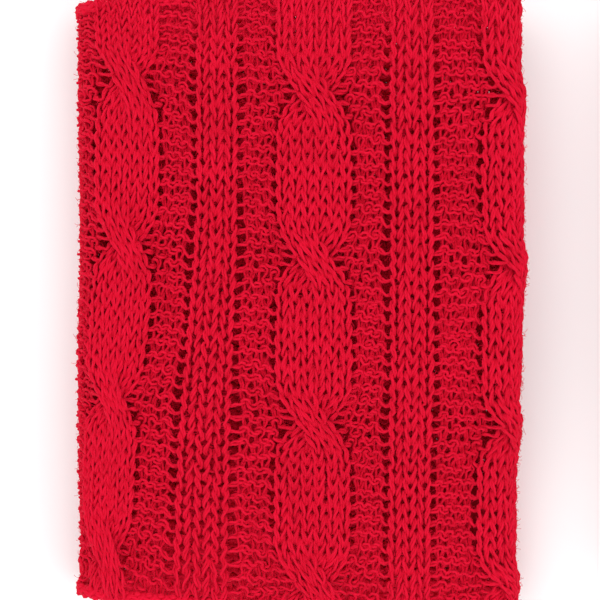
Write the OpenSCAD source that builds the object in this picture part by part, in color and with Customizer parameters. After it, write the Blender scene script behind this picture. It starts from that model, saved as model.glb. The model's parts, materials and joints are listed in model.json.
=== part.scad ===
// Pair of short fingerless gloves in cable knit, empty and lying flat side by side.
// The left glove lies back up with its thumb folded under the palm.
// The right glove lies palm up with its thumb folded over the palm.
// +X runs from the left glove to the right one, +Y towards the fingers, +Z up from the table.

/* [Glove] */
// Width of the lying glove
glove_w = 104; // [96:1:116]
// Length from the cuff's edge to the finger edge
glove_l = 146; // [136:1:170]
// Thickness of the lying tube, both layers and the room between them
glove_t = 18; // [17:0.5:22]
// Radius of the tube's rounded sides, outside
side_r = 7.5; // [5:0.5:8]
// Thickness of the knitted fabric
fabric_t = 3.5; // [2.5:0.5:4]
// Width of a side seam
seam_w = 3; // [2:0.5:4]
// Length of the cast-on and cast-off edges
edge_l = 3; // [2:0.5:4]
// Gap between the two gloves
pair_gap = 30; // [20:1:60]

/* [Wrist] */
// Length of the cuff, from its edge to the wrist
cuff_l = 50; // [40:1:60]
// Angle that the wrist bends each way
wrist_bend = 30; // [10:1:30]
// Gap between cuff and hand at the wrist's axis, each side of it
wrist_gap = 0.4; // [0.3:0.1:1]

/* [Thumb] */
// Width of the flat thumb sleeve
thumb_w = 26; // [22:1:28]
// Thickness of the flat thumb sleeve
thumb_t = 8.8; // [8.6:0.2:11]
// Length of the thumb sleeve
thumb_l = 36; // [25:1:42]
// Thickness of the thumb's fabric
thumb_fabric = 2.1; // [1.5:0.1:2.2]
// Length of the gusset between the palm's thumb hole and the sleeve
gusset_l = 16; // [12:1:20]
// Distance from the wrist to the base of the thumb sleeve
thumb_from_wrist = 33; // [26:1:40]
// Distance from the sleeve to the glove's thumb side
thumb_inset = 3; // [2:0.5:6]
// Clearance between the folded thumb and the palm
thumb_clear = 0.4; // [0.3:0.1:1]

/* [Care label] */
// Width of the label, out of its seam
label_w = 12; // [8:1:16]
// Length of the label along its seam
label_l = 18; // [12:1:24]
// Thickness of the label's ribbon, folded once
label_t = 0.6; // [0.4:0.1:1]

/* [Hidden] */

LEFT = 0;
RIGHT = 1;
red = "crimson";
dark_red = "firebrick";
corner_steps = 6;
big = 400;

y_cuff = -glove_l / 2;
y_finger = glove_l / 2;
y_wrist = y_cuff + cuff_l;
y_thumb = y_wrist + thumb_from_wrist;
x_thumb = glove_w / 2 - thumb_inset - thumb_w / 2;
thumb_r = thumb_t / 2 - 0.4;

// The hand of the left glove leans, so that its palm clears the thumb folded under it.
lean = 8;
// A leaning hand sinks by this much until its rounded side meets the table.
lean_drop = side_r * (sin(lean) + cos(lean) - 1);
// A leaning hand moves this much sideways, to stay centred on its cuff.
lean_shift = (glove_w * (1 - cos(lean)) + glove_t * sin(lean)) / 2;
pair_x = (pair_gap + glove_w) / 2;
// The palm of the right glove is level, this high over the far face of its thumb.
level_lift = thumb_t + thumb_clear;
// Half the opening angle of the notch at the wrist, with a little to spare.
notch_half = wrist_bend / 2 + 0.5;

function arc(cx, cy, r, from) =
    [for (i = [0:corner_steps]) let (a = from + 90 * i / corner_steps) [cx + r * cos(a), cy + r * sin(a)]];

// A rounded rectangle standing on its lower side, centred left and right.
function rounded(w, h, r) = concat(
    arc(w / 2 - r, h - r, r, 0), arc(-w / 2 + r, h - r, r, 90),
    arc(-w / 2 + r, r, r, 180), arc(w / 2 - r, r, r, 270));

function wrist_z(side) = side == LEFT ? (glove_t + glove_w * sin(lean)) / 2 - 3 : level_lift + glove_t / 2;

// A flat tube along Y, open at both ends.
module tube(w, h, r, wall, y0, y1) {
    translate([0, y1, 0]) rotate([90, 0, 0]) linear_extrude(y1 - y0) difference() {
        polygon(rounded(w, h, r));
        translate([0, wall]) polygon(rounded(w - 2 * wall, h - 2 * wall, r - wall));
    }
}

// The whole wall of the glove between two places along it, in its own level frame.
module wall_ring(y0, y1) tube(glove_w, glove_t, side_r, fabric_t, y0, y1);

// The four lengthwise strips that the wall is made of.
module back_strip(y0, y1) intersection() {
    wall_ring(y0, y1);
    translate([-big / 2, -big / 2, glove_t / 2 + seam_w / 2]) cube([big, big, big]);
}
module palm_strip(y0, y1) intersection() {
    wall_ring(y0, y1);
    translate([-big / 2, -big / 2, glove_t / 2 - seam_w / 2 - big]) cube([big, big, big]);
}
module seam_strip(y0, y1, dir) intersection() {
    wall_ring(y0, y1);
    translate([dir < 0 ? -big : 0, -big / 2, glove_t / 2 - seam_w / 2]) cube([big, big, seam_w]);
}

// Places a level hand over its thumb: leaning on the left glove, lifted on the right one.
module lay_hand(side) {
    a = side == LEFT ? lean : 0;
    dx = side == LEFT ? lean_shift : 0;
    dz = side == LEFT ? -lean_drop : level_lift;
    translate([dx - glove_w / 2, 0, dz]) rotate([0, -a, 0]) translate([glove_w / 2, 0, 0]) children();
}
module lay_cuff(side) translate([0, 0, side == LEFT ? 0 : level_lift]) children();

// The notch across the wrist, wide enough for the hand to bend both ways.
module wrist_notch(side) {
    z = wrist_z(side);
    reach = 60;
    open = wrist_gap + reach * tan(notch_half);
    rotate([90, 0, 90]) translate([0, 0, -big / 2]) linear_extrude(big) polygon([
        [y_wrist - wrist_gap, z], [y_wrist - open, z + reach], [y_wrist + open, z + reach],
        [y_wrist + wrist_gap, z], [y_wrist + open, z - reach], [y_wrist - open, z - reach]]);
}

// Sets a glove modelled palm down in its place in the pair. The right glove is turned palm up.
module in_pair(side) {
    if (side == LEFT) translate([-pair_x, 0, 0]) children();
    else translate([pair_x, 0, level_lift + glove_t]) mirror([0, 0, 1]) children();
}

module hand_piece(side) in_pair(side) difference() {
    lay_hand(side) children();
    wrist_notch(side);
}
module cuff_piece(side) in_pair(side) difference() {
    lay_cuff(side) children();
    wrist_notch(side);
}

module back_hand(side) color(red) hand_piece(side) back_strip(y_wrist, y_finger - edge_l);
module back_cuff(side) color(red) cuff_piece(side) back_strip(y_cuff + edge_l, y_wrist);

// The palm has a hole over the gusset, where the thumb goes through.
module palm_hand(side) color(red) difference() {
    hand_piece(side) palm_strip(y_wrist, y_finger - edge_l);
    in_pair(side) thumb_hole(-1);
}
module palm_cuff(side) color(red) cuff_piece(side) palm_strip(y_cuff + edge_l, y_wrist);

module outer_seam_hand(side) color(dark_red) hand_piece(side) seam_strip(y_wrist, y_finger - edge_l, -1);
module outer_seam_cuff(side) color(dark_red) cuff_piece(side) seam_strip(y_cuff + edge_l, y_wrist, -1);
module inner_seam_hand(side) color(dark_red) hand_piece(side) seam_strip(y_wrist, y_finger - edge_l, 1);
module inner_seam_cuff(side) color(dark_red) cuff_piece(side) seam_strip(y_cuff + edge_l, y_wrist, 1);

module finger_edge(side) color(dark_red) in_pair(side) lay_hand(side) wall_ring(y_finger - edge_l, y_finger);
module cuff_edge(side) color(dark_red) in_pair(side) lay_cuff(side) wall_ring(y_cuff, y_cuff + edge_l);

// The hollow of the gusset, which goes on up through the palm.
module thumb_hole(z0) {
    inside = thumb_w - 2 * thumb_fabric;
    translate([x_thumb - inside / 2, y_thumb - gusset_l + thumb_fabric, z0])
        cube([inside, gusset_l - 2 * thumb_fabric, glove_t + thumb_t]);
}

// Everything on the hand's side of the palm's outer face.
module above_palm(side) lay_hand(side) translate([-big / 2, -big / 2, 0]) cube([big, big, big]);

// A pocket under the palm, open to the thumb hole above and to the sleeve in front.
module thumb_gusset(side) color(red) in_pair(side) difference() {
    round_r = 5;
    translate([x_thumb, y_thumb - gusset_l, 0]) linear_extrude(glove_t + thumb_t) intersection() {
        polygon(rounded(thumb_w, 2 * gusset_l, round_r));
        translate([-thumb_w / 2, 0]) square([thumb_w, gusset_l - thumb_clear]);
    }
    thumb_hole(thumb_fabric);
    translate([x_thumb - thumb_w / 2 + thumb_fabric, y_thumb - thumb_w / 2, thumb_fabric])
        cube([thumb_w - 2 * thumb_fabric, thumb_w, thumb_t - 2 * thumb_fabric]);
    above_palm(side);
}

module sleeve_ring(y0, y1) translate([x_thumb, 0, 0]) tube(thumb_w, thumb_t, thumb_r, thumb_fabric, y0, y1);

// The strip of the sleeve that its own seam takes up, along the side next to the palm's middle.
module sleeve_seam_room() {
    translate([x_thumb - thumb_w, y_thumb - 1, thumb_t / 2 - seam_w / 2])
        cube([thumb_w, thumb_l + 2, seam_w]);
}

module thumb_sleeve(side) color(red) in_pair(side) difference() {
    sleeve_ring(y_thumb, y_thumb + thumb_l - edge_l);
    sleeve_seam_room();
}
module thumb_seam(side) color(dark_red) in_pair(side) intersection() {
    sleeve_ring(y_thumb, y_thumb + thumb_l - edge_l);
    sleeve_seam_room();
}
module thumb_edge(side) color(dark_red) in_pair(side)
    sleeve_ring(y_thumb + thumb_l - edge_l, y_thumb + thumb_l);

// A plain folded ribbon sewn into the seam on the thumb side, inside the cuff.
module care_label(side) color("white") in_pair(side) lay_cuff(side)
    translate([glove_w / 2 - fabric_t - label_w, y_cuff + 11, glove_t / 2 - label_t / 2])
        cube([label_w, label_l, label_t]);

back_hand(LEFT);  // left_back_hand
back_cuff(LEFT);  // left_back_cuff
palm_hand(LEFT);  // left_palm_hand
palm_cuff(LEFT);  // left_palm_cuff
outer_seam_hand(LEFT);  // left_outer_seam_hand
outer_seam_cuff(LEFT);  // left_outer_seam_cuff
inner_seam_hand(LEFT);  // left_inner_seam_hand
inner_seam_cuff(LEFT);  // left_inner_seam_cuff
finger_edge(LEFT);  // left_finger_edge
cuff_edge(LEFT);  // left_cuff_edge
thumb_gusset(LEFT);  // left_thumb_gusset
thumb_sleeve(LEFT);  // left_thumb_sleeve
thumb_edge(LEFT);  // left_thumb_edge
thumb_seam(LEFT);  // left_thumb_seam
care_label(LEFT);  // left_care_label

back_hand(RIGHT);  // right_back_hand
back_cuff(RIGHT);  // right_back_cuff
palm_hand(RIGHT);  // right_palm_hand
palm_cuff(RIGHT);  // right_palm_cuff
outer_seam_hand(RIGHT);  // right_outer_seam_hand
outer_seam_cuff(RIGHT);  // right_outer_seam_cuff
inner_seam_hand(RIGHT);  // right_inner_seam_hand
inner_seam_cuff(RIGHT);  // right_inner_seam_cuff
finger_edge(RIGHT);  // right_finger_edge
cuff_edge(RIGHT);  // right_cuff_edge
thumb_gusset(RIGHT);  // right_thumb_gusset
thumb_sleeve(RIGHT);  // right_thumb_sleeve
thumb_edge(RIGHT);  // right_thumb_edge
thumb_seam(RIGHT);  // right_thumb_seam
care_label(RIGHT);  // right_care_label
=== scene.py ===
"""A pair of short fingerless gloves in cable knit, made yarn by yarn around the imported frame.

Lengths are in millimetres until a curve is built. Across the glove, a place on the fabric is its distance
round the tube from the middle of the back or palm. Along the glove, it is a row number.
"""

import json
import logging
import math
from dataclasses import dataclass, field
from enum import Enum

import bpy
import numpy as np
from bpy.types import ID, Material, Node, NodeSocket, NodeTree, Object
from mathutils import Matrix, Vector


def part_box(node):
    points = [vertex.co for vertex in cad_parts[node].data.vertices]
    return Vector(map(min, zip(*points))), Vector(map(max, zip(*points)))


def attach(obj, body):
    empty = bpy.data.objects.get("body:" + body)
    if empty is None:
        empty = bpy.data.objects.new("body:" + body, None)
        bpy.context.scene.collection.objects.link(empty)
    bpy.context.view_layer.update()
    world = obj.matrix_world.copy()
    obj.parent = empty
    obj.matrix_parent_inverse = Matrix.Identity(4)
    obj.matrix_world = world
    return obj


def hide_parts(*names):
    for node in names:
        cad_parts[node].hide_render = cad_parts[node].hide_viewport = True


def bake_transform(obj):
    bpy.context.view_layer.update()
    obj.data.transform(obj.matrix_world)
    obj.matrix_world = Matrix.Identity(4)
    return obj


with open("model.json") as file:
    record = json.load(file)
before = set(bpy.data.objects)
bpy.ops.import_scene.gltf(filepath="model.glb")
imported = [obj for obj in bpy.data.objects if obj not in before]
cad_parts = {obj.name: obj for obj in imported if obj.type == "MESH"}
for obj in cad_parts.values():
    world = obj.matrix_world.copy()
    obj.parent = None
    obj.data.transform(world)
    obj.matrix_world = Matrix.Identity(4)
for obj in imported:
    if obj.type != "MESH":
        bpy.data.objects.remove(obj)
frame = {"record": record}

MM = 0.001
SEED = 7
# A two-strand yarn: how far each strand's middle and its surface lie from the yarn's, as shares of the yarn's
# radius, and the length of yarn in which the strands go once round each other.
PLY_APART = 0.47
PLY_RADIUS = 0.67
PLY_PITCH = 9.0
Array = np.ndarray
Triple = tuple[float, float, float]
Inputs = dict[str | int, object]
log = logging.getLogger("gloves")


class Side(Enum):
    """The two gloves of the pair."""

    LEFT = "left"
    RIGHT = "right"


class Face(Enum):
    """The two faces of a flat tube of fabric."""

    BACK = 1
    PALM = -1


class Stitch(Enum):
    """What a wale shows on its outer side; the value is the sign of its loops' depth."""

    KNIT = 1
    PURL = -1


def smooth(low: float, high: float, t: Array) -> Array:
    """Steps from 0 to 1 in an even S.

    Args:
        low: Where it is still 0.
        high: Where it is 1 already; it may be less than low.
        t: Where to look.

    Returns:
        The step's height at t.
    """
    u = np.clip((t - low) / (high - low), 0.0, 1.0)
    return u * u * (3 - 2 * u)


def bell(t: Array, half: float) -> Array:
    """Falls evenly to both sides from 1 at 0.

    Args:
        t: Where to look.
        half: How far from 0 it has fallen to a bit over a third.

    Returns:
        The bell's height at t.
    """
    return np.exp(-((t / half) ** 2))


# ---- nodes and objects


def fill(node: Node, given: Inputs) -> Node:
    """Feeds a node's inputs.

    Args:
        node: The node.
        given: For each input, by name or number, the socket that feeds it or its constant.

    Returns:
        The same node.
    """
    for key, value in given.items():
        if isinstance(value, NodeSocket):
            node.id_data.links.new(value, node.inputs[key])
        else:
            node.inputs[key].default_value = value
    return node


def add(tree: NodeTree, kind: str, given: Inputs, **settings: object) -> Node:
    """Adds a node to a tree.

    Args:
        tree: The tree.
        kind: The node's type.
        given: What feeds its inputs, as in fill.
        settings: The node's own settings, which are made before its inputs are fed.

    Returns:
        The node.
    """
    node = tree.nodes.new(kind)
    for name, value in settings.items():
        setattr(node, name, value)
    return fill(node, given)


@dataclass
class Group:
    """A node group with named inputs, and the identifiers by which a modifier sets them."""

    name: str
    kind: str
    inputs: tuple[tuple[str, str, object], ...]
    outputs: tuple[tuple[str, str], ...]
    tree: NodeTree = field(init=False)
    given: Node = field(init=False)
    sockets: dict[str, str] = field(default_factory=dict)

    def __post_init__(self) -> None:
        """Makes the tree, its inputs and outputs, and its input node."""
        self.tree = bpy.data.node_groups.new(self.name, self.kind)
        new_socket = self.tree.interface.new_socket
        for label, kind, value in self.inputs:
            socket = new_socket(name=label, in_out="INPUT", socket_type=f"NodeSocket{kind}")
            if value is not None:
                socket.default_value = value
            self.sockets[label] = socket.identifier
        for label, kind in self.outputs:
            new_socket(name=label, in_out="OUTPUT", socket_type=f"NodeSocket{kind}")
        self.given = self.tree.nodes.new("NodeGroupInput")

    def apply(self, name: str, data: ID, values: dict[str, object]) -> Object:
        """Runs the group on a curve or mesh and keeps what it makes as a plain mesh.

        Args:
            name: The name of the object that is made.
            data: The curve or mesh, which isn't changed.
            values: The group's inputs by name.

        Returns:
            The object, at the origin and without a modifier.
        """
        carrier = show(name + "_carrier", data)
        modifier = carrier.modifiers.new(self.name, "NODES")
        modifier.node_group = self.tree
        for label, value in values.items():
            modifier[self.sockets[label]] = value
        ready = carrier.evaluated_get(bpy.context.evaluated_depsgraph_get())
        mesh = bpy.data.meshes.new_from_object(ready)
        mesh.name = name
        bpy.data.objects.remove(carrier)
        return show(name, mesh)


def taken(tree: NodeTree, kind: str, given: Inputs, output: str | int = 0, **settings: object) -> NodeSocket:
    """Adds a node for the sake of one of its outputs.

    Args:
        tree: The tree.
        kind: The node's type.
        given: What feeds its inputs, as in fill.
        output: The output, by name or number.
        settings: The node's own settings.

    Returns:
        That output.
    """
    return add(tree, kind, given, **settings).outputs[output]


def show(name: str, data: ID) -> Object:
    """Puts an object in the scene, at the origin.

    Args:
        name: The object's name.
        data: Its mesh, curve, light or camera.

    Returns:
        The object.
    """
    made = bpy.data.objects.new(name, data)
    bpy.context.scene.collection.objects.link(made)
    return made


# ---- finishes


def open_material(name: str) -> tuple[Material, NodeTree, Node]:
    """Starts a material.

    Args:
        name: The material's name.

    Returns:
        The material, its node tree and its shader node.
    """
    made = bpy.data.materials.new(name)
    made.use_nodes = True
    return made, made.node_tree, made.node_tree.nodes["Principled BSDF"]


def ramp(share: NodeSocket, low: Triple, high: Triple, ends: tuple[float, float] = (0.0, 1.0)) -> NodeSocket:
    """Adds a colour ramp.

    Args:
        share: The socket that runs through the ramp.
        low: The colour at its start.
        high: The colour at its end.
        ends: Where the start and the end are.

    Returns:
        The socket with the colour.
    """
    tint = add(share.id_data, "ShaderNodeValToRGB", {"Fac": share})
    for element, position, colour in zip(tint.color_ramp.elements, ends, (low, high)):
        element.position = position
        element.color = (*colour, 1)
    return tint.outputs["Color"]


def texture(tree: NodeTree, kind: str, given: Inputs, **settings: object) -> NodeSocket:
    """Adds a texture that is fixed to the object.

    Args:
        tree: The tree to add it to.
        kind: Which texture.
        given: What feeds its inputs, as in fill.
        settings: The node's own settings.

    Returns:
        The socket with its value.
    """
    place = taken(tree, "ShaderNodeTexCoord", {}, "Object")
    return taken(tree, f"ShaderNodeTex{kind}", {"Vector": place, **given}, "Fac", **settings)


def yarn_detail_group() -> NodeTree:
    """Builds the shader group that gives a spun yarn its plies, fibres and dye variation, and painted
    highlight lines along its strands.

    Returns:
        A node group with Height and Tone outputs.
    """
    inputs = (("Fibre Scale", "Float", 900.0), ("Tone Scale", "Float", 160.0), ("Ply Turns", "Float", 330.0))
    group = Group("YarnDetail", "ShaderNodeTree", inputs, (("Height", "Float"), ("Tone", "Float")))
    tree, given = group.tree, group.given.outputs

    def reckon(kind: str, a: object, b: object = 0.0) -> NodeSocket:
        """Adds a Math node.

        Args:
            kind: What it does.
            a: Its first socket or number.
            b: Its second socket or number.

        Returns:
            Its output.
        """
        return taken(tree, "ShaderNodeMath", {0: a, 1: b}, operation=kind)

    names = ("along", "around")
    along, around = (taken(tree, "ShaderNodeAttribute", {}, "Fac", attribute_name=name) for name in names)
    turns = reckon("MULTIPLY", along, given["Ply Turns"])
    twist = reckon("ADD", reckon("MULTIPLY", turns, math.tau), reckon("MULTIPLY", around, 2 * math.tau))
    ply = reckon("ABSOLUTE", reckon("SINE", reckon("MULTIPLY", twist, 0.5)))
    fibre = texture(tree, "Noise", {"Scale": given["Fibre Scale"], "Detail": 3.0})
    tone = texture(tree, "Noise", {"Scale": given["Tone Scale"], "Detail": 2.0})
    lane = taken(tree, "ShaderNodeCombineXYZ", {"X": reckon("ADD", around, reckon("MULTIPLY", turns, 0.5))})
    waves = {"Vector": lane, "Scale": 1.6, "Distortion": 2.5, "Detail": 2.0}
    strand = taken(tree, "ShaderNodeTexWave", waves, "Fac", wave_type="BANDS")
    mixed = {}
    # Tone mixes random dye variation from the two noises with the strand bands, which paint lighter highlight
    # lines along the strands.
    for label, terms in (
        ("Height", ((ply, 1.0), (fibre, 0.6), (strand, 0.35))),
        ("Tone", ((tone, 0.4), (fibre, 0.3), (strand, 0.3))),
    ):
        first, second, third = (reckon("MULTIPLY", socket, share) for socket, share in terms)
        mixed[label] = reckon("ADD", reckon("ADD", first, second), third)
    add(tree, "NodeGroupOutput", mixed)
    return tree


@dataclass(frozen=True)
class YarnFinish:
    """Soft dyed acrylic yarn."""

    name: str
    deep: Triple
    bright: Triple
    roughness: float = 0.8
    sheen: float = 0.10
    sheen_tint: Triple = (1.0, 0.12, 0.2)
    bump: float = 0.45
    bump_depth: float = 0.0003

    def material(self, detail: NodeTree) -> Material:
        """Builds the material.

        Args:
            detail: The shared YarnDetail group.

        Returns:
            A material that reads Object coordinates and the yarn's own attributes.
        """
        made, tree, shader = open_material(self.name)
        yarn = add(tree, "ShaderNodeGroup", {}, node_tree=detail).outputs
        relief = {"Strength": self.bump, "Distance": self.bump_depth, "Height": yarn["Height"]}
        fill(shader, {
            # Base colour from deep to bright along the Tone: random dye variation, and painted highlight
            # lines along the strands.
            "Base Color": ramp(yarn["Tone"], self.deep, self.bright, (0.3, 0.7)),
            "Normal": taken(tree, "ShaderNodeBump", relief),
            "Roughness": self.roughness,
            "Sheen Weight": self.sheen,
            "Sheen Roughness": 0.45,
            "Sheen Tint": (*self.sheen_tint, 1),
            "Specular IOR Level": 0.12,
        })
        return made


@dataclass(frozen=True)
class RibbonFinish:
    """Plain woven polyester ribbon."""

    name: str = "ribbon_crimson"
    light: Triple = (0.62, 0.004, 0.022)
    dark: Triple = (0.42, 0.002, 0.014)
    thread_scale: float = 900.0

    def material(self) -> Material:
        """Builds a fine satin weave from two crossed waves.

        Returns:
            A material that reads Object coordinates.
        """
        made, tree, shader = open_material(self.name)
        threads = {"Scale": self.thread_scale}
        crossed = {i: texture(tree, "Wave", threads, bands_direction=way) for i, way in enumerate(("X", "Y"))}
        weave = taken(tree, "ShaderNodeMath", crossed, operation="MULTIPLY")
        relief = {"Strength": 0.3, "Distance": 0.0001, "Height": weave}
        fill(shader, {
            "Base Color": ramp(weave, self.dark, self.light),
            "Normal": taken(tree, "ShaderNodeBump", relief),
            "Roughness": 0.6,
            "Specular IOR Level": 0.1,
        })
        return made


@dataclass(frozen=True)
class TableFinish:
    """Smooth pale table top."""

    name: str = "pale_table"
    colour: Triple = (0.95, 0.95, 0.955)
    mottle: float = 0.985

    def material(self) -> Material:
        """Builds a nearly even pale surface with a faint mottle.

        Returns:
            A material that reads Object coordinates.
        """
        made, tree, shader = open_material(self.name)
        dim = tuple(c * self.mottle for c in self.colour)
        tint = ramp(texture(tree, "Noise", {"Scale": 6.0}), dim, self.colour)
        fill(shader, {"Base Color": tint, "Roughness": 0.85})
        return made


# ---- yarn into meshes


@dataclass
class YarnSweep:
    """Sweeps a round yarn along curves with Geometry Nodes."""

    group: Group = field(init=False)

    def __post_init__(self) -> None:
        """Builds the tree once."""
        self.group = Group("YarnSweep", "GeometryNodeTree", (
            ("Geometry", "Geometry", None), ("Yarn Radius", "Float", 0.0005), ("Sides", "Int", 6),
            ("Material", "Material", None),
        ), (("Geometry", "Geometry"),))
        tree, given = self.group.tree, self.group.given.outputs
        size = {"Resolution": given["Sides"], "Radius": given["Yarn Radius"]}
        ring = taken(tree, "GeometryNodeCurvePrimitiveCircle", size)
        kept = []
        for name, curve, measure in (("along", given["Geometry"], "Length"), ("around", ring, "Factor")):
            place = taken(tree, "GeometryNodeSplineParameter", {}, measure)
            store = {"Geometry": curve, "Name": name, "Value": place}
            kind = {"data_type": "FLOAT", "domain": "POINT"}
            kept.append(taken(tree, "GeometryNodeStoreNamedAttribute", store, **kind))
        paths = {"Curve": kept[0], "Profile Curve": kept[1], "Fill Caps": True}
        swept = taken(tree, "GeometryNodeCurveToMesh", paths)
        even = taken(tree, "GeometryNodeSetShadeSmooth", {"Geometry": swept})
        real = taken(tree, "GeometryNodeRealizeInstances", {"Geometry": even})
        dressed = taken(tree, "GeometryNodeSetMaterial", {"Geometry": real, "Material": given["Material"]})
        add(tree, "NodeGroupOutput", {"Geometry": dressed})

    def mesh(
        self, name: str, strands: list[Array], radius: float, sides: int, finish: Material,
        closed: bool = False,
    ) -> Object:
        """Makes one plain mesh object from yarn paths.

        Args:
            name: The piece's name.
            strands: One array of points for each yarn, in millimetres in the row frame. A fourth column gives
                the yarn's thickness as a share of its usual one.
            radius: The yarn's radius in millimetres.
            sides: How many sides the yarn's round section has.
            finish: The yarn's material.
            closed: Whether each yarn's end joins its start.

        Returns:
            The object, at the origin.
        """
        curve = bpy.data.curves.new(name + "_path", "CURVE")
        curve.dimensions = "3D"
        for points in strands:
            spline = curve.splines.new("POLY")
            spline.points.add(len(points) - 1)
            flat = np.ones((len(points), 4), np.float32)
            flat[:, :3] = points[:, :3] * MM
            spline.points.foreach_set("co", flat.ravel())
            # The yarn's own slight unevenness, out of step from one strand to the next.
            place = np.arange(len(points)) * 0.37 + len(curve.splines) * 1.9
            swell = 1 + 0.07 * np.sin(place) + 0.05 * np.sin(place * 0.31 + 1.0)
            if points.shape[1] > 3:
                swell = swell * points[:, 3]
            spline.points.foreach_set("radius", swell.astype(np.float32))
            spline.use_cyclic_u = closed
        made = self.group.apply(name, curve, {"Yarn Radius": radius * MM, "Sides": sides, "Material": finish})
        bpy.data.curves.remove(curve)
        return made


def plied(strand: Array, radius: float) -> list[Array]:
    """Splits one yarn path into the two strands that it is spun from.

    Args:
        strand: Points with a fourth column for the yarn's thickness.
        radius: The yarn's radius in millimetres.

    Returns:
        Two arrays of points with their thickness.
    """
    path = strand[:, :3]
    tangent = np.gradient(path, axis=0)
    step = np.linalg.norm(tangent, axis=1)
    tangent /= step[:, None]
    normal = np.array([0.0, 0.0, 1.0]) - tangent * tangent[:, 2:3]
    normal /= np.maximum(np.linalg.norm(normal, axis=1), 0.2)[:, None]
    side = np.cross(tangent, normal)
    turn = (math.tau * np.cumsum(step) / PLY_PITCH)[:, None]
    away = (np.cos(turn) * normal + np.sin(turn) * side) * radius * PLY_APART * strand[:, 3:]
    return [np.column_stack([path + sign * away, strand[:, 3]]) for sign in (1, -1)]


def chain(links: int) -> list[tuple[Array, Array, Array]]:
    """Lays out the two yarns of a chained edge.

    Args:
        links: How many links the edge has.

    Returns:
        For each yarn its places along the edge, in links, and its swings sideways and outwards, from -1 to 1.
    """
    turn = np.linspace(0, math.tau * links, links * 16, endpoint=False)
    along = turn / math.tau + 0.22 * np.sin(2 * turn)
    return [(along, np.sin(turn + phase), np.cos(2 * turn + phase)) for phase in (0.0, math.pi)]


@dataclass
class Fuzz:
    """Lets short bent fibres stand out of a yarn with Geometry Nodes."""

    fibre_r: float = 0.05
    fibre_l: float = 1.6
    group: Group = field(init=False)

    def __post_init__(self) -> None:
        """Builds the tree once."""
        self.group = Group("Fuzz", "GeometryNodeTree", (
            ("Geometry", "Geometry", None), ("Fibres per m2", "Float", 200000.0),
            ("Fibre Length", "Float", self.fibre_l * MM), ("Fibre Radius", "Float", self.fibre_r * MM),
            ("Material", "Material", None),
        ), (("Geometry", "Geometry"),))
        tree, given = self.group.tree, self.group.given.outputs
        ground = {"Mesh": given["Geometry"], "Density": given["Fibres per m2"], "Seed": SEED}
        scatter = add(tree, "GeometryNodeDistributePointsOnFaces", ground).outputs
        # A fibre of unit length, rooted a little inside the yarn and bent over at its tip.
        bend = {"Resolution": 2, "Start": (0, 0, -0.1), "Middle": (0.15, 0, 0.55), "End": (0.95, 0.1, 0.35)}
        fibre = taken(tree, "GeometryNodeCurveQuadraticBezier", bend)
        spread = {"Min": (-0.6, -0.6, -math.pi), "Max": (0.6, 0.6, math.pi), "Seed": SEED + 1}
        spin = taken(tree, "FunctionNodeRandomValue", spread, "Value", data_type="FLOAT_VECTOR")
        to_turn = taken(tree, "FunctionNodeEulerToRotation", {"Euler": spin})
        lean = {"Rotation": scatter["Rotation"], "Rotate By": to_turn}
        turn = taken(tree, "FunctionNodeRotateRotation", lean, rotation_space="LOCAL")
        vary = taken(tree, "FunctionNodeRandomValue", {"Min": 0.4, "Max": 1.0, "Seed": SEED + 2}, 1)
        size = taken(tree, "ShaderNodeMath", {0: given["Fibre Length"], 1: vary}, operation="MULTIPLY")
        copies = {"Points": scatter["Points"], "Instance": fibre, "Rotation": turn, "Scale": size}
        put = taken(tree, "GeometryNodeInstanceOnPoints", copies)
        real = taken(tree, "GeometryNodeRealizeInstances", {"Geometry": put})
        round_section = {"Resolution": 3, "Radius": given["Fibre Radius"]}
        ring = taken(tree, "GeometryNodeCurvePrimitiveCircle", round_section)
        paths = {"Curve": real, "Profile Curve": ring, "Fill Caps": True}
        swept = taken(tree, "GeometryNodeCurveToMesh", paths)
        dressed = taken(tree, "GeometryNodeSetMaterial", {"Geometry": swept, "Material": given["Material"]})
        add(tree, "NodeGroupOutput", {"Geometry": dressed})

    def grow(self, name: str, yarn: Object, density: float, finish: Material) -> Object:
        """Makes one plain mesh of fibres standing on a yarn mesh.

        Args:
            name: The piece's name.
            yarn: The yarn that the fibres grow from, which isn't changed.
            density: Fibres for each square metre of yarn surface.
            finish: The fibres' material.

        Returns:
            The object, at the origin.
        """
        sizes = {"Fibre Length": self.fibre_l * MM, "Fibre Radius": self.fibre_r * MM}
        return self.group.apply(name, yarn.data, {"Fibres per m2": density, "Material": finish, **sizes})


# ---- the glove's shape


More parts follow.
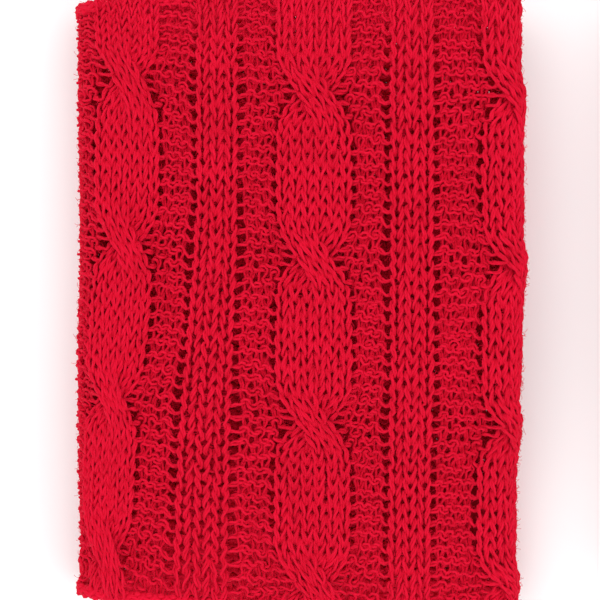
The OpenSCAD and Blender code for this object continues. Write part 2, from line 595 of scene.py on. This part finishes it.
@dataclass
class GloveShape:
    """Where the fabric of one glove lies: a flat soft tube, leaning or level."""

    side: Side
    width: float
    length: float
    thick: float
    cuff: float
    middle: float
    fabric: float = 3.5
    side_r: float = 7.5
    lean: float = math.radians(8)
    lean_from: float = -43.0
    # How far the ends reach from the middle at x: a constant, a skew and a bow.
    reach: Triple = (72.2, 0.035, 0.00075)

    @classmethod
    def from_frame(cls, side: Side) -> "GloveShape":
        """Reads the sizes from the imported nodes.

        Args:
            side: Which glove.

        Returns:
            The shape of that glove.
        """
        low, high = (np.array(v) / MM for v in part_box(f"{side.value}_cuff_edge"))
        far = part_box(f"{side.value}_finger_edge")[1][1] / MM
        hinge = next(j for j in frame["record"]["behaviour"]["joints"] if j["name"] == f"{side.value}_wrist")
        wrist = hinge["pos_m"][1] / MM - low[1]
        return cls(side, high[0] - low[0], far - low[1], high[2] - low[2], wrist, (low[0] + high[0]) / 2)

    def __post_init__(self) -> None:
        """Works out the section's own measures, along the middle of the fabric."""
        self.mid_r = self.side_r - self.fabric / 2
        self.flat_half = self.width / 2 - self.side_r
        # The upright stretch between the rounded side and the seam, and the way round to the seam.
        wall_half = self.thick / 2 - self.side_r
        self.half_round = self.flat_half + math.pi / 2 * self.mid_r + wall_half

    def section(self, p: Array) -> tuple[Array, ...]:
        """Follows the tube's section from the middle of its upper face.

        Args:
            p: Distance round the section, positive to the thumb side.

        Returns:
            x, height over the tube's lower face, and the outward normal's x and z.
        """
        far, r = np.abs(p), self.mid_r
        a = np.clip((far - self.flat_half) / r, 0, math.pi / 2)
        down = np.maximum(far - self.flat_half - r * math.pi / 2, 0)
        x = np.minimum(far, self.flat_half) + r * np.sin(a)
        z = self.thick - self.side_r + r * np.cos(a) - down
        return np.sign(p) * x, z, np.sign(p) * np.sin(a), np.cos(a)

    def edge_bow(self, x: Array) -> Array:
        """Says how far the glove's ends reach.

        Args:
            x: Places across the glove.

        Returns:
            The reach at x, as a share of half the glove's length.
        """
        end, skew, bow = self.reach
        return (end + skew * x - bow * x * x) / (self.length / 2)

    def raised(self, x: Array, y: Array) -> Array:
        """Says how far the fabric is lifted from the table by the thumb under it.

        Args:
            x: Places across the glove.
            y: Places along it, 0 in its middle.

        Returns:
            The lift, which is 0 all over a glove that lies palm up.
        """
        if self.side is Side.RIGHT:
            return np.zeros(np.broadcast(x, y).shape)
        wrist = self.cuff - self.length / 2
        ramp_up = (x - self.lean_from) * math.tan(self.lean)
        soft = 0.5 * (ramp_up + np.sqrt(ramp_up * ramp_up + 1.5))
        # The cuff lies flat, and the finger end sinks back a little.
        return soft * smooth(wrist - 24, wrist + 12, y) * (1 - 0.16 * smooth(44, 74, y))

    def place(self, face: Face, p: Array, y: Array, out: Array) -> Array:
        """Puts points of the fabric in the row frame.

        Args:
            face: Which face p is measured on.
            p: Distance round from that face's middle, positive to the thumb side.
            y: Distance along the glove from its middle, on a glove with straight ends.
            out: Height over the fabric's middle, outwards.

        Returns:
            Points in millimetres, with a last axis of 3.
        """
        x, z, nx, nz = self.section(p)
        # A little life: the upper layer swells, and the cloth isn't quite even.
        swell = 0.9 * np.clip(1 - (x / 60) ** 2, 0, 1) if face is Face.BACK else 0.0
        uneven = 0.35 * np.sin(x / 11.0 + y / 17.0) + 0.3 * np.sin(x / 19.0 - y / 9.0 + 1.0)
        z = z + out * nz + (swell + uneven) * nz
        x = x + out * nx + 0.25 * np.sin(y / 12.0) * np.abs(nx)
        if face is Face.PALM:
            z = self.thick - z
        if self.side is Side.RIGHT:
            z = self.thick - z
        if (face is Face.BACK) == (self.side is Side.RIGHT):
            # The layer that lies on the table is pressed flat by it.
            z = np.maximum(z, 0.2) + 0.9 * np.exp(-np.maximum(z, 0) / 1.5)
        y_real = y * self.edge_bow(x)
        z = z + self.raised(x, y_real)
        return np.stack([self.middle + x, y_real, z], axis=-1)


# ---- knitting


@dataclass
class Wale:
    """One column of stitches; cable and slot say which cable it is in, and where."""

    centre: float
    width: float
    stitch: Stitch
    lift: float
    cable: int = -1
    slot: int = 0


@dataclass
class Chart:
    """The wales of a panel, from one edge to the other, and the rows where its cables cross."""

    wales: list[Wale]
    rows: int
    crossings: tuple[float, ...] = ()
    cable_centres: list[float] = field(default_factory=list)

    CABLE_WALES = 6
    # What each band of the back is, how many wales it has and how wide each one is.
    BANDS = (
        ("ground", 2, 3.1), ("cable", CABLE_WALES, 2.45), ("ground", 3, 2.15), ("rib", 3, 3.2),
        ("ground", 3, 2.2), ("cable", CABLE_WALES, 2.85), ("ground", 3, 2.15), ("rib", 3, 3.3),
        ("ground", 4, 2.1), ("cable", CABLE_WALES, 2.85),
    )
    # How high each kind of band stands, and how much more the middle wale of a rib.
    LIFTS = {"ground": -0.2, "cable": 0.5, "rib": 0.35}
    RIB_RIDGE = 0.35
    # The fabric folds at the foot of each rib and cable, which opens a column of holes this wide.
    FOLD = 1.05

    @classmethod
    def cabled(cls, start: float, rows: int, crossings: tuple[float, ...]) -> "Chart":
        """Lays out the back: three cables with ribs between them, on a purl ground.

        Args:
            start: Where the first wale begins, round from the back's middle.
            rows: How many rows the panel has.
            crossings: The rows where the cables cross.

        Returns:
            The chart.
        """
        chart = cls([], rows, crossings)
        at = start
        for kind, count, width in cls.BANDS:
            if kind == "cable":
                chart.cable_centres.append(at + count * width / 2)
            cable = len(chart.cable_centres) - 1 if kind == "cable" else -1
            stitch = Stitch.PURL if kind == "ground" else Stitch.KNIT
            for i in range(count):
                lift = cls.LIFTS[kind] + (cls.RIB_RIDGE if kind == "rib" and i == 1 else 0.0)
                chart.wales.append(Wale(at + width / 2, width, stitch, lift, cable, i))
                at += width
            at += cls.FOLD
        return chart

    @classmethod
    def plain(cls, half: float, count: int, rows: int) -> "Chart":
        """Lays out stocking stitch.

        Args:
            half: Half the panel's width.
            count: How many wales it has.
            rows: How many rows it has.

        Returns:
            The chart.
        """
        width = 2 * half / count
        return cls([Wale(-half + (i + 0.5) * width, width, Stitch.KNIT, 0.0) for i in range(count)], rows)


@dataclass
class Knitter:
    """Bends one yarn a row through the stitches of a chart."""

    chart: Chart
    points: int
    depth: float = 0.56
    reach: float = 0.84
    lean: float = 0.255
    unevenness: float = 1.0
    seed: int = SEED

    # In rows: how long a cable's strands take to cross, stay pinched, ride over and pull at the ground, how
    # long the yarn stays taut there, and how far the fuller stitches of the ends reach.
    SWAP_ROWS = 5.6
    PINCH_ROWS = 2.6
    OVER_ROWS = 2.1
    PULL_ROWS = 2.3
    FLOAT_ROWS = 2.4
    END_ROWS = 4.5
    # At a crossing: the narrowing, the heights of the strand in front and behind, the reach of the pull in
    # millimetres and its share of the cable's half width, and how taut the next wale but one is.
    PINCH = 0.04
    FRONT = 1.35
    BEHIND = -0.9
    DRAWN = 9.5
    DRAWN_SHARE = 0.42
    NEXT_TAUT = 0.6
    CROWN = 0.6
    # A purl stitch is shorter, narrower, looser and thicker, and thickest at its arcs, not at its legs.
    PURL_SHORT = 0.8
    PURL_NARROW = 0.95
    PURL_LOOSE = 1.35
    PURL_STOUT = 1.6
    PURL_BLOOM = 0.3
    KNIT_BLOOM = -0.1
    # How much thinner the yarn is where knit and purl meet, and how much fuller in the end rows.
    BORDER_THIN = 0.32
    END_FULL = 0.4

    def __post_init__(self) -> None:
        """Lays the chart out as arrays with one value a wale, and draws the stitches' unevenness."""
        wales = self.chart.wales
        columns = zip(*((w.centre, w.width, w.stitch.value, w.lift, w.cable, w.slot) for w in wales))
        self.tables = tuple(np.array(column) for column in columns)
        sign, cable = self.tables[2], self.tables[4]
        purl = sign < 0
        self.on_cable = cable >= 0
        self.short = np.where(purl, self.PURL_SHORT, 1.0)
        self.narrow = np.where(purl, self.PURL_NARROW, 1.0)
        self.bloom = np.where(purl, self.PURL_BLOOM, self.KNIT_BLOOM)
        self.stout = np.where(purl, self.PURL_STOUT, 1.0)
        self.pull = self.pulls()
        self.drawn_left, self.drawn_right = self.drawn_sides()
        change = np.diff(sign) != 0
        self.fold_left = np.concatenate([[0.0], change])
        self.fold_right = np.concatenate([change, [0.0]])
        loose = np.where(purl, self.PURL_LOOSE, 1.0)
        draws = np.random.default_rng(self.seed).normal(0, 1, (self.chart.rows, len(wales), 4))
        self.shake = draws * self.unevenness * loose[None, :, None]

    def crossing_near(self, v: Array) -> Array:
        """Finds crossings.

        Args:
            v: Heights in rows.

        Returns:
            The row of the crossing nearest to each.
        """
        rows = np.array(self.chart.crossings or (-99.0,))
        return rows[np.abs(v[..., None] - rows).argmin(axis=-1)]

    def wale_frame(self, i: Array, row: int, v: Array) -> tuple[Array, ...]:
        """Gives a wale's centre, width, depth sign and lift at height v, as the yarn of one row meets it.

        Args:
            i: Wale numbers.
            row: The row's number.
            v: Heights in rows.

        Returns:
            Centres, widths, signs and lifts.
        """
        centre, width, sign, lift, cable, slot = (a[i] for a in self.tables)
        half = Chart.CABLE_WALES // 2
        at = self.crossing_near(v)
        pinch = 1 - self.PINCH * bell(v - at, self.PINCH_ROWS)
        swap = smooth(-self.SWAP_ROWS / 2, self.SWAP_ROWS / 2, v - at)
        below, right = row < at, slot >= half
        moved = np.where(below, swap, 1 - swap)
        across = slot - (half - 0.5) + np.where(right, -half * moved, half * moved)
        middle = np.array(self.chart.cable_centres or (0.0,))[np.maximum(cable, 0)]
        # The cable's roundness, highest along its middle.
        crown = self.CROWN * (1 - (across / 3.2) ** 2)
        front = np.where(below, right, ~right)
        over = np.where(front, self.FRONT, self.BEHIND) * bell(v - at, self.OVER_ROWS)
        centre = centre + self.pull[i] * bell(0.3 * v + 0.7 * row - at, self.PULL_ROWS)
        on_cable = cable >= 0
        centre = np.where(on_cable, middle + across * width * pinch, centre)
        width = np.where(on_cable, width * pinch, width)
        lift = np.where(on_cable, lift + crown + over, lift)
        return centre, width, sign, lift

    def pulls(self) -> Array:
        """Works out how far each ground wale is drawn towards the nearest cable where it crosses.

        Returns:
            One distance a wale.
        """
        pull = np.zeros(len(self.chart.wales))
        for n, wale in enumerate(self.chart.wales):
            for k, middle in enumerate(self.chart.cable_centres):
                half = next(w.width for w in self.chart.wales if w.cable == k) * Chart.CABLE_WALES / 2
                gap = abs(wale.centre - middle) - half
                if wale.cable < 0 and 0 < gap < self.DRAWN:
                    share = self.DRAWN_SHARE * (1 - gap / self.DRAWN)
                    pull[n] = math.copysign(half * share, middle - wale.centre)
        return pull

    def drawn_sides(self) -> tuple[Array, Array]:
        """Works out how taut the yarn is at the two sides of each wale where a cable crosses.

        Returns:
            One share a wale for its left side, and one for its right side.
        """
        wales = self.chart.wales
        left, right = np.zeros(len(wales)), np.zeros(len(wales))
        for n, (one, other) in enumerate(zip(wales, wales[1:])):
            if (one.cable < 0) != (other.cable < 0):
                right[n] = left[n + 1] = 1.0
                for far in (n - 1, n + 2):
                    if 0 <= far < len(wales) and wales[far].cable < 0:
                        (right if far < n else left)[far] = self.NEXT_TAUT
                if one.cable < 0:
                    left[n] = self.NEXT_TAUT
                else:
                    right[n + 1] = self.NEXT_TAUT
        return left, right

    def rows(self, first: int, last: int) -> list[Array]:
        """Makes the yarn paths of some rows.

        Args:
            first: The first row.
            last: The row after the last one.

        Returns:
            One array of points a row, as row makes it.
        """
        return [self.row(number) for number in range(first, last)]

    def row(self, row: int) -> Array:
        """Makes the yarn path of one row.

        Args:
            row: The row's number.

        Returns:
            Points with their distance round, row height, depth and share of thickness.
        """
        count = len(self.chart.wales)
        i, t = np.meshgrid(np.arange(count), np.arange(self.points) / self.points, indexing="ij")
        turn = math.tau * t
        shake = self.shake[row].T
        at = self.crossing_near(np.array(float(row)))
        tight = bell(row - at, self.FLOAT_ROWS)
        taut = tight * (self.drawn_left[i] * bell(t, 0.3) + self.drawn_right[i] * bell(1 - t, 0.3))
        taut = np.minimum(taut, 1.0)
        grow = 1 + 0.05 * shake[3][i]
        # Where the yarn is taut, its loops are flatter and lean to the crossing.
        v = row - self.reach * self.short[i] * grow * np.cos(turn) * (1 - 0.8 * taut)
        v = v + (at - row) * 0.38 * taut

        def seen_from(k: Array, step: Array) -> tuple[Array, ...]:
            """Gives the path as one wale's frame has it.

            Args:
                k: The wale's number.
                step: The place along that wale.

            Returns:
                Distances round, row heights and depths.
            """
            k = np.clip(k, 0, count - 1)
            centre, width, sign, lift = self.wale_frame(k, row, v)
            aside = self.lean * self.narrow[k] * (1 - 0.7 * taut) * np.sin(2 * turn)
            p = centre + width * (step - 0.5 + aside) + 0.09 * shake[0][k]
            out = -sign * self.depth * np.cos(2 * turn) + lift + 0.07 * shake[1][k]
            return p, v + 0.045 * shake[2][k], out

        # Near a wale's side, the path goes over into what its neighbour's frame gives.
        own, before, after = seen_from(i, t), seen_from(i - 1, t + 1), seen_from(i + 1, t - 1)
        w_before = np.where(i > 0, 0.5 * (1 - smooth(0, 0.24, t)), 0)
        w_after = np.where(i < count - 1, 0.5 * smooth(0.76, 1.0, t), 0)
        path = [
            o * (1 - w_before - w_after) + b * w_before + a * w_after for o, b, a in zip(own, before, after)
        ]
        # The first and last rows are worked over the edge's chain, so they are fuller.
        from_end = np.array(float(min(row, self.chart.rows - 1 - row)))
        firm = 1 - 0.1 * tight * self.on_cable[i]
        firm = firm * (1 + self.END_FULL * smooth(self.END_ROWS, 0.0, from_end))
        bloom = 1 + self.bloom[i] * np.cos(2 * turn)
        border = self.fold_left[i] * bell(t, 0.14) + self.fold_right[i] * bell(1 - t, 0.14)
        bloom -= self.BORDER_THIN * smooth(0.0, self.END_ROWS, from_end) * border
        path.append(self.stout[i] * bloom * firm * (1 - 0.22 * taut))
        return np.stack([c.ravel() for c in path], axis=-1)


# ---- the pieces of a glove


@dataclass
class Kit:
    """What every piece is made with."""

    sweep: YarnSweep
    fuzz: Fuzz
    fibre: Material
    cable: Material
    plain: Material
    sewing: Material
    edging: Material
    ribbon: Material


@dataclass
class Glove:
    """One glove: two panels, two seams, two edges, a thumb and a label."""

    shape: GloveShape
    kit: Kit
    rows: int = 46
    crossings: tuple[float, ...] = (1.55, 13.6, 25.65, 37.7)
    end_room: float = 1.2
    seam_room: float = 1.5
    yarn_r: float = 0.53
    palm_yarn_r: float = 0.76
    palm_wales: int = 43
    fibres_per_m2: float = 250000.0
    wrist_reach: float = 15.0
    edge_links: int = 80

    def __post_init__(self) -> None:
        """Works out the glove's name, its wrist's place and a row's height."""
        self.name = self.shape.side.value
        self.wrist_y = self.shape.cuff - self.shape.length / 2
        self.row_h = (self.shape.length - 2 * self.end_room) / self.rows
        self.panel_half = self.shape.half_round - self.seam_room

    def row_y(self, v: Array) -> Array:
        """Places rows along the glove.

        Args:
            v: Row heights.

        Returns:
            Where they lie along the glove.
        """
        return (v + 0.5) * self.row_h - self.shape.length / 2 + self.end_room

    def across_wrist(self, piece: Object, slot: str, *nodes: str) -> None:
        """Bakes a piece's transform and hides the CAD nodes that it stands for.

        Args:
            piece: The piece.
            slot: Not used.
            nodes: The CAD nodes that it stands for, without the glove's name.
        """
        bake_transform(piece)
        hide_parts(*(f"{self.name}_{n}" for n in nodes))

    def settle(self, p: Array, y: Array, out: Array) -> Array:
        """Lets the cabled back lie as worn cloth does, with its columns leaning and its side drawn in.

        Args:
            p: Distance round from the back's middle.
            y: Distance along the glove.
            out: Height over the fabric's middle.

        Returns:
            Points in millimetres.
        """
        # The side seam gathers the stitches next to it and presses them flat.
        gathered_from, scale = 44.0, 22.0
        past = np.maximum(p - gathered_from, 0)
        p = np.minimum(p, gathered_from) + scale * (1 - np.exp(-past / scale))
        out = out * (1 - 0.5 * smooth(47, 54, p))
        fade = 1 - np.abs(y / (self.shape.length / 2)) ** 9
        slide = -6.5 * smooth(30, -62, y) * bell(p + 30, 17)
        slope = (-0.073 * p + 0.00085 * p * p) * fade
        # The outer cable is drawn up a little near both ends.
        slope = slope + smooth(-18, -42, p) * (2.4 * bell(y - 50, 13) + 2.6 * bell(y + 60, 10))
        return self.shape.place(Face.BACK, p + slide, y + slope, out)

    def back(self) -> None:
        """Knits the cabled back, in lengths that stay light enough to handle."""
        shown = self.shape.side is Side.LEFT
        chart = Chart.cabled(-self.panel_half + 0.3, self.rows, self.crossings)
        knitter = Knitter(chart, points=15 if shown else 12)
        cuts = (0, 11, 22, 33, self.rows) if shown else (0, 15, 30, self.rows)
        radius = self.yarn_r * PLY_RADIUS if shown else self.yarn_r
        for number, (first, last) in enumerate(zip(cuts, cuts[1:]), 1):
            strands = []
            for p, v, out, stout in (r.T for r in knitter.rows(first, last)):
                whole = np.column_stack([self.settle(p, self.row_y(v), out), stout])
                strands += plied(whole, self.yarn_r) if shown else [whole]
            made = self.kit.sweep.mesh(f"{self.name}_back_{number}", strands, radius, 5, self.kit.cable)
            self.across_wrist(made, "cable_knit", "back_hand", "back_cuff")
            if shown:
                label = f"{self.name}_back_fuzz_{number}"
                fluff = self.kit.fuzz.grow(label, made, self.fibres_per_m2, self.kit.fibre)
                self.across_wrist(fluff, "cable_knit", "back_hand", "back_cuff")

    def palm(self) -> None:
        """Knits the plain palm, with a hole where the thumb goes through."""
        shape = self.shape
        chart = Chart.plain(self.panel_half, self.palm_wales, self.rows)
        knitter = Knitter(chart, points=10, depth=0.55, seed=SEED + 1)
        low, high = (np.array(v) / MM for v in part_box(f"{self.name}_thumb_gusset"))
        left, right = low[0] - shape.middle + 3.5, high[0] - shape.middle - 3.5
        cuts = (0, 15, 30, self.rows)
        for number, (first, last) in enumerate(zip(cuts, cuts[1:]), 1):
            strands = []
            for p, v, out, _ in (r.T for r in knitter.rows(first, last)):
                y = self.row_y(v)
                points = shape.place(Face.PALM, p, y, out)
                inside = (left < p) & (p < right) & (low[1] + 3.5 < y.mean() < high[1] - 3.0)
                edges = np.flatnonzero(np.diff(inside.astype(int))) + 1
                runs = zip(np.split(points, edges), np.split(~inside, edges))
                strands += [run for run, whole in runs if whole.all() and len(run) > 3]
            label = f"{self.name}_palm_{number}"
            made = self.kit.sweep.mesh(label, strands, self.palm_yarn_r, 5, self.kit.plain)
            self.across_wrist(made, "plain_knit", "palm_hand", "palm_cuff")

    def ring_place(self, around: Array, y: Array, out: Array) -> Array:
        """Places points all the way round the tube.

        Args:
            around: Distance round the tube from the back's middle.
            y: Distance along the glove.
            out: Height over the fabric's middle.

        Returns:
            Points in millimetres.
        """
        half = self.shape.half_round
        wrapped = (around + half) % (4 * half) - half
        on_back = wrapped <= half
        upper = self.shape.place(Face.BACK, np.clip(wrapped, -half, half), y, out)
        lower = self.shape.place(Face.PALM, np.clip(2 * half - wrapped, -half, half), y, out)
        return np.where(on_back[:, None], upper, lower)

    def seams(self) -> None:
        """Sews the panels together: whip stitches over a selvedge that runs along each side."""
        end = self.shape.length / 2 - self.end_room + 0.6
        pitch = self.row_h * 1.02
        t = np.linspace(-end, end, int(2 * end / pitch * 12))
        turn = math.tau * t / pitch
        # The whip stitches, two strands that wind round each other under them, and the panels' selvedges.
        paths = [(2.05 * np.cos(turn), t + 0.5 * np.sin(turn), -0.85 + 0.35 * np.sin(turn))]
        for a in (0, math.pi):
            paths.append((0.75 * np.cos(turn / 2 + a), t, -1.0 + 0.4 * np.sin(turn / 2 + a)))
        for aside in (-1.9, -1.0, 1.0, 1.9):
            paths.append((np.full_like(t, aside), t, -0.9 + 0.25 * np.sin(turn + 9 * aside)))
        for label, sign in (("outer_seam", -1), ("inner_seam", 1)):
            strands = [self.ring_place(sign * (self.shape.half_round + p), y, out) for p, y, out in paths]
            radius = self.yarn_r * 0.95
            made = self.kit.sweep.mesh(f"{self.name}_{label}", strands, radius, 6, self.kit.sewing)
            self.across_wrist(made, "seam_yarn", f"{label}_hand", f"{label}_cuff")

    def edges(self) -> None:
        """Chains the cast-on and cast-off edges round the two openings."""
        link = 4 * self.shape.half_round / self.edge_links
        for label, body, sign in (("finger_edge", "hand", 1), ("cuff_edge", "cuff", -1)):
            y = sign * (self.shape.length / 2 - 1.3)
            strands = [
                self.ring_place(along * link, y + 1.05 * aside, 0.15 + 0.55 * out)
                for along, aside, out in chain(self.edge_links)
            ]
            made = self.kit.sweep.mesh(
                f"{self.name}_{label}_chain", strands, self.yarn_r * 1.3, 6, self.kit.edging, closed=True
            )
            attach(made, f"{self.name}_{body}")
            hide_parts(f"{self.name}_{label}")


@dataclass
class Thumb:
    """The thumb of one glove: a knitted sleeve folded flat against the palm, and its gusset."""

    glove: Glove
    wales: int = 26
    yarn_r: float = 0.64
    row_h: float = 2.95
    fabric: float = 2.1
    whip_pitch: float = 3.0
    edge_links: int = 22

    def __post_init__(self) -> None:
        """Reads the sleeve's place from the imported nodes."""
        side = self.glove.name
        low, high = (np.array(v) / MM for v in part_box(f"{side}_thumb_edge"))
        self.base_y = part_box(f"{side}_thumb_sleeve")[0][1] / MM
        self.gusset_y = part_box(f"{side}_thumb_gusset")[0][1] / MM
        self.tip_y = high[1]
        self.mid_x, self.mid_z = (low[0] + high[0]) / 2, (low[2] + high[2]) / 2
        self.width, self.thick = high[0] - low[0], high[2] - low[2]
        # Away from the palm: down on the glove that lies back up, up on the other one.
        self.away = -1 if self.glove.shape.side is Side.LEFT else 1

    def round(self, q: Array, y: Array, out: Array) -> Array:
        """Places points of the sleeve.

        Args:
            q: Turn round the sleeve, 0 to 1, from the middle of the face away from the palm.
            y: Places along it in the row frame.
            out: Height over the fabric's middle.

        Returns:
            Points in millimetres.
        """
        r = self.thick / 2 - self.fabric / 2
        flat = self.width / 2 - self.thick / 2
        around = 4 * flat + math.tau * r
        p = ((q + 0.5) % 1.0 - 0.5) * around
        far = np.abs(p)
        a = np.clip((far - flat) / r, 0, math.pi)
        back = np.maximum(far - flat - math.pi * r, 0)
        x = np.sign(p) * (np.minimum(far, flat) + r * np.sin(a) - back)
        z = r * np.cos(a)
        nx, nz = np.sign(p) * np.sin(a), np.cos(a)
        # The gusset is flat where it leaves the palm and opens out up to the sleeve's base.
        size = 0.25 + 0.75 * smooth(self.gusset_y - 3.0, self.base_y - 1.0, y)
        taper = 1 - 0.03 * smooth(self.base_y, self.tip_y, y)
        height = (z + out * nz) * size - (1 - size) * (self.thick / 2 - 0.6)
        return np.stack([self.mid_x + (x + out * nx) * taper, y, self.mid_z + self.away * height], axis=-1)

    def knit(self) -> None:
        """Knits the gusset and the sleeve in the round, with their seam and edge."""
        name, kit = self.glove.name, self.glove.kit
        span = self.tip_y - 2.4 - self.gusset_y
        rows = round(span / self.row_h)
        chart = Chart.plain(0.5, self.wales, rows)
        knitter = Knitter(chart, points=12, depth=0.42, seed=SEED + 2, unevenness=0.0)
        base_row = round((self.base_y - self.gusset_y) / self.row_h)
        for label, first, last in (("gusset", 0, base_row), ("sleeve", base_row, rows)):
            strands = [
                self.round(q, self.gusset_y + (v + 0.5) * span / rows, out)
                for q, v, out, _ in (r.T for r in knitter.rows(first, last))
            ]
            piece = f"{name}_thumb_{label}_knit"
            made = kit.sweep.mesh(piece, strands, self.yarn_r, 6, kit.plain, closed=True)
            self.across_base(made, f"thumb_{label}")
        t = np.linspace(self.base_y, self.tip_y - 2.6, 120)
        turn = math.tau * t / self.whip_pitch
        whip = self.round(0.75 + 0.022 * np.cos(turn), t, 0.2 + 0.75 * np.sin(turn))
        made = kit.sweep.mesh(f"{name}_thumb_whip", [whip], self.yarn_r, 6, kit.sewing)
        self.across_base(made, "thumb_seam")
        strands = [
            self.round(along / self.edge_links, self.tip_y - 1.4 + 0.85 * aside, 0.4 * out)
            for along, aside, out in chain(self.edge_links)
        ]
        made = kit.sweep.mesh(f"{name}_thumb_chain", strands, self.yarn_r, 6, kit.edging, closed=True)
        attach(made, f"{name}_thumb")
        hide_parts(f"{name}_thumb_edge")

    def across_base(self, piece: Object, node: str) -> None:
        """Bakes a piece's transform, and lets it stand for its CAD node by hiding that node.

        Args:
            piece: The piece.
            node: The CAD node, without the glove's name.
        """
        side = self.glove.name
        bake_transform(piece)
        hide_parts(f"{side}_{node}")


@dataclass
class CareLabel:
    """A blank ribbon, folded once and sewn into the seam inside the cuff."""

    glove: Glove
    ribbon_t: float = 0.22
    gap: float = 0.5
    steps: int = 24
    stations: int = 10

    def section(self, low: Array, high: Array) -> Array:
        """Draws the folded ribbon's closed section.

        Args:
            low: The label's lower corner in millimetres.
            high: Its upper corner.

        Returns:
            Points with x and z, round the ribbon's two faces.
        """
        r = (self.gap + self.ribbon_t) / 2
        u = np.array([2 * i / self.steps - 1 for i in range(self.steps + 1)])
        x = high[0] - (1 - np.abs(u)) * (high[0] - low[0] - r)
        z = (low[2] + high[2]) / 2 + np.copysign(r, u) * np.minimum(1, np.abs(u) * 4) ** 0.5
        line = np.stack([x, z], axis=1)
        tangent = np.gradient(line, axis=0)
        normal = np.stack([-tangent[:, 1], tangent[:, 0]], axis=1)
        normal /= np.linalg.norm(normal, axis=1)[:, None]
        aside = normal * self.ribbon_t / 2
        return np.concatenate([line + aside, (line - aside)[::-1]])

    def make(self) -> None:
        """Builds the folded ribbon as one closed strip."""
        low, high = (np.array(v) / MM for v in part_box(f"{self.glove.name}_care_label"))
        loop, last = self.section(low, high), self.stations
        n = len(loop)
        verts, faces = [], []
        for k in range(last + 1):
            y = low[1] + (high[1] - low[1]) * k / last
            verts += [(x * MM, y * MM, (z + 0.25 * math.sin(k * 0.9)) * MM) for x, z in loop]
        for k in range(last):
            here, above = k * n, (k + 1) * n
            faces += [(here + i, here + (i + 1) % n, above + (i + 1) % n, above + i) for i in range(n)]
        for k, step in ((0, -1), (last, 1)):
            for i in range(n // 2 - 1):
                quad = (k * n + i, k * n + i + 1, k * n + n - 2 - i, k * n + n - 1 - i)
                faces.append(quad[::step])
        mesh = bpy.data.meshes.new(f"{self.glove.name}_ribbon")
        mesh.from_pydata(verts, [], faces)
        mesh.validate()
        mesh.materials.append(self.glove.kit.ribbon)
        made = show(mesh.name, mesh)
        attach(made, f"{self.glove.name}_cuff")
        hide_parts(f"{self.glove.name}_care_label")


# ---- the studio


@dataclass
class Studio:
    """A pale table, soft lamps and a camera looking straight down on the left glove."""

    shape: GloveShape
    view_width: float = 138.0
    camera_height: float = 380.0
    sensor: float = 36.0
    aside: float = 1.0
    table_half: float = 3.0
    sky: float = 1.05
    # Each lamp's name, strength, aim and spread in degrees.
    lamps: tuple[tuple[str, float, Triple, float], ...] = (
        ("key", 0.52, (0.45, -0.5, -1.0), 34),
        ("fill", 0.5, (-0.8, 0.35, -0.9), 50),
    )

    def build(self) -> None:
        """Adds the table, lamps, sky and camera."""
        mesh = bpy.data.meshes.new("table")
        size = self.table_half
        corners = [(-size, -size, 0), (size, -size, 0), (size, size, 0), (-size, size, 0)]
        mesh.from_pydata(corners, [], [(0, 1, 2, 3)])
        mesh.materials.append(TableFinish().material())
        table = show("table", mesh)
        for name, strength, aim, spread in self.lamps:
            light = bpy.data.lights.new(name, "SUN")
            light.energy, light.angle = strength, math.radians(spread)
            show(name, light).rotation_euler = Vector(aim).to_track_quat("-Z", "Y").to_euler()
        world = bpy.data.worlds.new("studio")
        world.use_nodes = True
        fill(world.node_tree.nodes["Background"], {"Color": (1.0, 1.0, 1.0, 1), "Strength": self.sky})
        bpy.context.scene.world = world
        lens = bpy.data.cameras.new("camera")
        lens.sensor_width = self.sensor
        lens.lens = self.sensor * self.camera_height / self.view_width
        lens.clip_start = 0.01
        camera = show("camera", lens)
        x, z = self.shape.middle + self.aside, self.camera_height + self.shape.thick
        camera.location = (x * MM, 0, z * MM)
        bpy.context.scene.camera = camera
        bpy.context.scene.view_settings.view_transform = "Standard"


def make_kit() -> Kit:
    """Builds the tools and finishes that every piece is made with.
    """
    detail = yarn_detail_group()
    # The fibres are a lighter, pinker copy of the yarn's crimson: painted light on the fuzz, which lightens
    # the shade in the gaps.
    fibre = YarnFinish("crimson_fibre_painted_light", (0.7, 0.0025, 0.026), (0.82, 0.004, 0.038), sheen=0.0, bump=0.0)
    cable = YarnFinish("crimson_cable_yarn", (0.64, 0.0017, 0.022), (0.77, 0.0029, 0.034))
    plain = YarnFinish("crimson_plain_yarn", (0.64, 0.0016, 0.021), (0.77, 0.0028, 0.033))
    sewing = YarnFinish("crimson_sewing_yarn", (0.60, 0.0015, 0.020), (0.74, 0.0026, 0.032))
    edging = YarnFinish("crimson_edge_yarn", (0.63, 0.0016, 0.021), (0.76, 0.0028, 0.033))
    yarns = (finish.material(detail) for finish in (fibre, cable, plain, sewing, edging))
    return Kit(YarnSweep(), Fuzz(), *yarns, RibbonFinish().material())


def main() -> None:
    """Builds the pair, then the studio."""
    logging.basicConfig(level=logging.INFO, format="%(message)s")
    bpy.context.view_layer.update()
    kit = make_kit()
    for side in Side:
        glove = Glove(GloveShape.from_frame(side), kit)
        thumb, label = Thumb(glove), CareLabel(glove)
        for step in (glove.back, glove.palm, glove.seams, glove.edges, thumb.knit, label.make):
            step()
            log.info("%s glove: %s done", side.value, step.__qualname__)
    Studio(GloveShape.from_frame(Side.LEFT)).build()
    log.info("sizes written")


if __name__ == "__main__":
    main()
